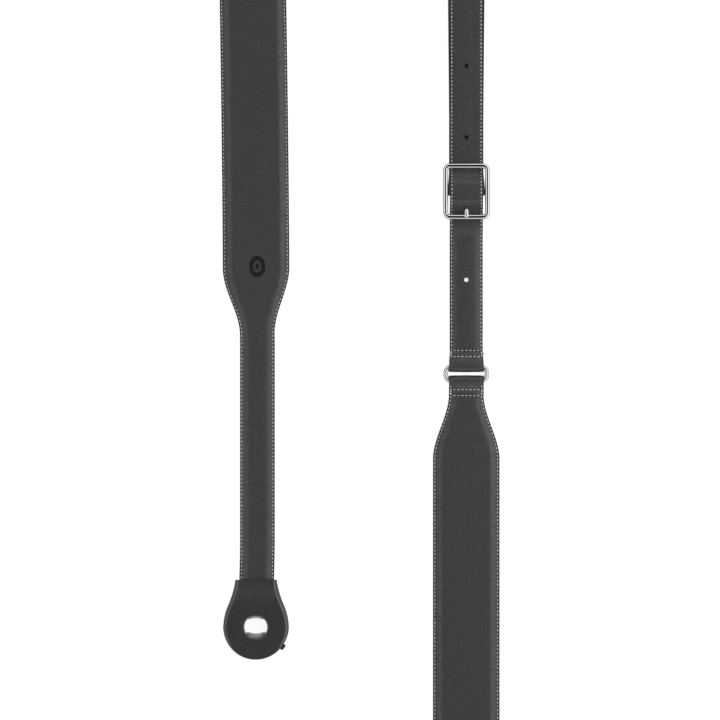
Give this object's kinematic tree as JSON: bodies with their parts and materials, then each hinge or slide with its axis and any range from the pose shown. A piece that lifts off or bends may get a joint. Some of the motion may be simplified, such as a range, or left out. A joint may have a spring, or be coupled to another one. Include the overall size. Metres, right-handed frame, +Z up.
{
  "type": "instrument shoulder strap",
  "caption": "Padded leather instrument shoulder strap laid in a U, with a pin buckle, an oval ring and a round quick-release lock at each end.",
  "frame": {"origin": "bottom centre of the whole strap's box, on the surface it lies on", "axes": "+Y along the strap's legs towards the U's closed end, +Z up from the surface, +X towards the buckle's leg"},
  "size_m": [0.2094, 0.8396, 0.0504],
  "materials": {
    "leather": "fine matte charcoal leather with a painted edge",
    "cover_leather": "smooth moulded charcoal leather",
    "lining": "black suede",
    "padding": "closed-cell foam",
    "bright_metal": "polished nickel plate",
    "steel": "satin stainless steel",
    "black_steel": "blackened steel",
    "black_plastic": "black moulded plastic"
  },
  "bodies": {
    "shoulder_strap": {"shoulder_leather": "leather", "shoulder_foam": "padding", "shoulder_lining": "lining", "fixed_belt": "leather", "tongue_leather": "leather", "tongue_lining": "lining", "front_lock_front_cover": "cover_leather", "front_lock_back_cover": "cover_leather", "front_lock_lower_shell": "black_plastic", "front_lock_upper_shell": "black_plastic", "front_lock_screws": "steel"},
    "buckle": {"buckle_frame": "bright_metal"},
    "prong": {"buckle_prong": "bright_metal"},
    "ring": {"oval_ring": "bright_metal"},
    "rear_strap": {"rear_leather": "leather", "rear_foam": "padding", "rear_lining": "lining", "rear_lock_front_cover": "cover_leather", "rear_lock_back_cover": "cover_leather", "rear_lock_lower_shell": "black_plastic", "rear_lock_upper_shell": "black_plastic", "rear_lock_screws": "steel"},
    "front_button": {"front_lock_slider": "black_steel", "front_lock_button": "bright_metal"},
    "front_upper_jaw": {"front_lock_upper_jaw": "steel"},
    "front_lower_jaw": {"front_lock_lower_jaw": "steel"},
    "rear_button": {"rear_lock_slider": "black_steel", "rear_lock_button": "bright_metal"},
    "rear_upper_jaw": {"rear_lock_upper_jaw": "steel"},
    "rear_lower_jaw": {"rear_lock_lower_jaw": "steel"}
  },
  "joints": [
    {"name": "buckle_rock", "type": "hinge", "parent": "shoulder_strap", "child": "buckle", "pos_m": [0.0795, 0.10725, 0.0054], "axis": [-1, 0, 0], "range_deg": [-2.5, 2.5]},
    {"name": "prong_lift", "type": "hinge", "parent": "buckle", "child": "prong", "pos_m": [0.0795, 0.10725, 0.0054], "axis": [-1, 0, 0], "range_deg": [0, 3]},
    {"name": "ring_swing", "type": "hinge", "parent": "shoulder_strap", "child": "ring", "pos_m": [0.0795, -0.0253, 0.0035], "axis": [-1, 0, 0], "range_deg": [0, 70]},
    {"name": "rear_strap_swing", "type": "hinge", "parent": "ring", "child": "rear_strap", "pos_m": [0.0795, -0.0354, 0.0035], "axis": [-1, 0, 0], "range_deg": [0, 70]},
    {"name": "front_button_push", "type": "slide", "parent": "shoulder_strap", "child": "front_button", "axis": [-0.7986, 0.6018, 0], "range_m": [0, 0.002], "stiffness_N_per_m": 300, "springref_m": -0.005},
    {"name": "front_upper_jaw_slide", "type": "slide", "parent": "shoulder_strap", "child": "front_upper_jaw", "axis": [0, 1, 0], "range_m": [0, 0.0024]},
    {"name": "front_lower_jaw_slide", "type": "slide", "parent": "shoulder_strap", "child": "front_lower_jaw", "axis": [0, -1, 0], "range_m": [0, 0.004]},
    {"name": "rear_button_push", "type": "slide", "parent": "rear_strap", "child": "rear_button", "axis": [-0.7986, 0.6018, 0], "range_m": [0, 0.002], "stiffness_N_per_m": 300, "springref_m": -0.005},
    {"name": "rear_upper_jaw_slide", "type": "slide", "parent": "rear_strap", "child": "rear_upper_jaw", "axis": [0, 1, 0], "range_m": [0, 0.0024]},
    {"name": "rear_lower_jaw_slide", "type": "slide", "parent": "rear_strap", "child": "rear_lower_jaw", "axis": [0, -1, 0], "range_m": [0, 0.004]}
  ],
  "couplings": [
    {"joint": "front_upper_jaw_slide", "follows": "front_button_push", "ratio": 1.2},
    {"joint": "front_lower_jaw_slide", "follows": "front_button_push", "ratio": 2},
    {"joint": "rear_upper_jaw_slide", "follows": "rear_button_push", "ratio": 1.2},
    {"joint": "rear_lower_jaw_slide", "follows": "rear_button_push", "ratio": 2}
  ]
}
